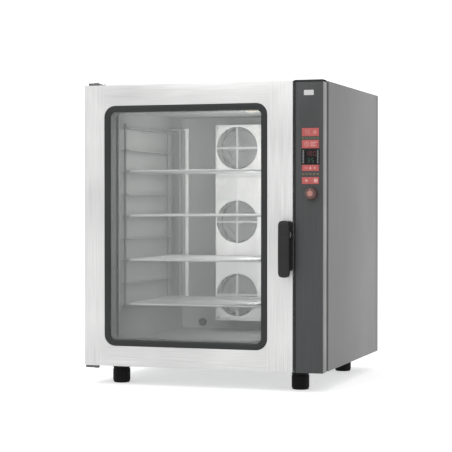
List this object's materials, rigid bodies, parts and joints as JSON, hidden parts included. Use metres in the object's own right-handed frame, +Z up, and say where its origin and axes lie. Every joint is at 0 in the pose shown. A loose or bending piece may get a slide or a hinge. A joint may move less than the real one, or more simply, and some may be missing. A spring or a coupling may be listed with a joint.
{
  "type": "combi steamer oven",
  "caption": "Free-standing combi steamer oven with a left-hung glass door, lever handle, control column, wire shelves, rear fans and levelling feet.",
  "frame": {"origin": "on the floor, under the middle of the oven's overall box", "axes": "+Z up, -Y out of the door, +X to the right as seen from in front of the door"},
  "size_m": [0.93, 0.98, 1.172],
  "materials": {
    "brushed_steel": "brushed, fine vertical grain",
    "cabinet_steel": "brushed, darker grey",
    "zinc_steel": "zinc plated",
    "cavity_steel": "bright rolled stainless steel",
    "black_plastic": "satin black",
    "fascia_grey": "dark grey, faint vertical brushing",
    "key_red": "muted red, satin",
    "knob_brown": "dark brown red, satin",
    "display_black": "smoked black, glossy",
    "glass": "clear toughened glass, faint green tint",
    "rubber": "matt silicone",
    "insulation": "mineral wool",
    "heater": "heat-darkened tube",
    "aluminium": "cast, satin",
    "board_green": "circuit board",
    "brass": "machined",
    "lamp_glass": "frosted warm glass"
  },
  "bodies": {
    "cabinet": {"control_housing": "brushed_steel", "front_frame": "brushed_steel", "side_panel_left": "cabinet_steel", "side_panel_right": "cabinet_steel", "top_cover": "cabinet_steel", "rear_cover": "cabinet_steel", "base_frame": "zinc_steel", "hinge_plate_top": "zinc_steel", "hinge_plate_bottom": "zinc_steel", "hinge_pin_top": "zinc_steel", "hinge_pin_bottom": "zinc_steel", "latch_keeper": "zinc_steel", "exhaust_flue": "zinc_steel", "drain_pipe": "zinc_steel", "cavity_liner": "cavity_steel", "fan_baffle": "cavity_steel", "tray_rack_left": "cavity_steel", "tray_rack_right": "cavity_steel", "cable_gland": "black_plastic", "control_fascia": "fascia_grey", "display_window": "display_black", "door_gasket": "rubber", "insulation_jacket": "insulation", "heater_ring_bottom": "heater", "heater_ring_middle": "heater", "heater_ring_top": "heater", "fan_motor_bottom": "aluminium", "fan_motor_middle": "aluminium", "fan_motor_top": "aluminium", "control_board": "board_green", "water_inlet": "brass", "cavity_lamp": "lamp_glass"},
    "door": {"door_frame": "brushed_steel", "door_rear_frame": "cavity_steel", "window_trim": "black_plastic", "outer_glass": "glass", "inner_glass": "glass", "hinge_bush_top": "brass", "hinge_bush_bottom": "brass", "handle_base": "black_plastic"},
    "handle": {"door_handle": "black_plastic", "handle_spindle": "zinc_steel", "latch_hook": "zinc_steel"},
    "damper": {"flue_damper": "zinc_steel"},
    "knob": {"control_knob": "knob_brown"},
    "fan_bottom": {"fan_wheel_bottom": "aluminium"},
    "fan_middle": {"fan_wheel_middle": "aluminium"},
    "fan_top": {"fan_wheel_top": "aluminium"},
    "shelf_1": {"wire_shelf_1": "cavity_steel"},
    "shelf_2": {"wire_shelf_2": "cavity_steel"},
    "shelf_3": {"wire_shelf_3": "cavity_steel"},
    "shelf_4": {"wire_shelf_4": "cavity_steel"},
    "mode_key": {"mode_key": "key_red"},
    "time_key": {"time_key": "key_red"},
    "steam_key": {"steam_key": "key_red"},
    "start_key": {"start_key": "key_red"},
    "foot_front_left": {"foot_front_left": "black_plastic"},
    "foot_front_right": {"foot_front_right": "black_plastic"},
    "foot_rear_left": {"foot_rear_left": "black_plastic"},
    "foot_rear_right": {"foot_rear_right": "black_plastic"}
  },
  "joints": [
    {"name": "door_swing", "type": "hinge", "parent": "cabinet", "child": "door", "pos_m": [-0.427, -0.41, 0.6], "axis": [0, 0, -1], "range_deg": [0, 120]},
    {"name": "handle_turn", "type": "hinge", "parent": "door", "child": "handle", "pos_m": [0.331, -0.438, 0.572], "axis": [0, 1, 0], "range_deg": [0, 90]},
    {"name": "fan_spin_bottom", "type": "hinge", "parent": "cabinet", "child": "fan_bottom", "pos_m": [-0.064, 0.262, 0.309], "axis": [0, 1, 0], "continuous": true},
    {"name": "fan_spin_middle", "type": "hinge", "parent": "cabinet", "child": "fan_middle", "pos_m": [-0.064, 0.262, 0.609], "axis": [0, 1, 0], "continuous": true},
    {"name": "fan_spin_top", "type": "hinge", "parent": "cabinet", "child": "fan_top", "pos_m": [-0.064, 0.262, 0.911], "axis": [0, 1, 0], "continuous": true},
    {"name": "shelf_slide_1", "type": "slide", "parent": "cabinet", "child": "shelf_1", "axis": [0, -1, 0], "range_m": [-0.01, 0.025]},
    {"name": "shelf_slide_2", "type": "slide", "parent": "cabinet", "child": "shelf_2", "axis": [0, -1, 0], "range_m": [-0.01, 0.025]},
    {"name": "shelf_slide_3", "type": "slide", "parent": "cabinet", "child": "shelf_3", "axis": [0, -1, 0], "range_m": [-0.01, 0.025]},
    {"name": "shelf_slide_4", "type": "slide", "parent": "cabinet", "child": "shelf_4", "axis": [0, -1, 0], "range_m": [-0.01, 0.025]},
    {"name": "mode_key_press", "type": "slide", "parent": "cabinet", "child": "mode_key", "axis": [0, 1, 0], "range_m": [0, 0.0012], "stiffness_N_per_m": 400},
    {"name": "time_key_press", "type": "slide", "parent": "cabinet", "child": "time_key", "axis": [0, 1, 0], "range_m": [0, 0.0012], "stiffness_N_per_m": 400},
    {"name": "steam_key_press", "type": "slide", "parent": "cabinet", "child": "steam_key", "axis": [0, 1, 0], "range_m": [0, 0.0012], "stiffness_N_per_m": 400},
    {"name": "start_key_press", "type": "slide", "parent": "cabinet", "child": "start_key", "axis": [0, 1, 0], "range_m": [0, 0.0012], "stiffness_N_per_m": 400},
    {"name": "knob_turn", "type": "hinge", "parent": "cabinet", "child": "knob", "pos_m": [0.4225, -0.438, 0.721], "axis": [0, 1, 0], "continuous": true},
    {"name": "damper_tilt", "type": "hinge", "parent": "cabinet", "child": "damper", "pos_m": [0.135, 0.277, 1.102], "axis": [1, 0, 0], "range_deg": [0, 90]},
    {"name": "foot_front_left_level", "type": "slide", "parent": "cabinet", "child": "foot_front_left", "axis": [0, 0, -1], "range_m": [0, 0.02]},
    {"name": "foot_front_right_level", "type": "slide", "parent": "cabinet", "child": "foot_front_right", "axis": [0, 0, -1], "range_m": [0, 0.02]},
    {"name": "foot_rear_left_level", "type": "slide", "parent": "cabinet", "child": "foot_rear_left", "axis": [0, 0, -1], "range_m": [0, 0.02]},
    {"name": "foot_rear_right_level", "type": "slide", "parent": "cabinet", "child": "foot_rear_right", "axis": [0, 0, -1], "range_m": [0, 0.02]}
  ]
}
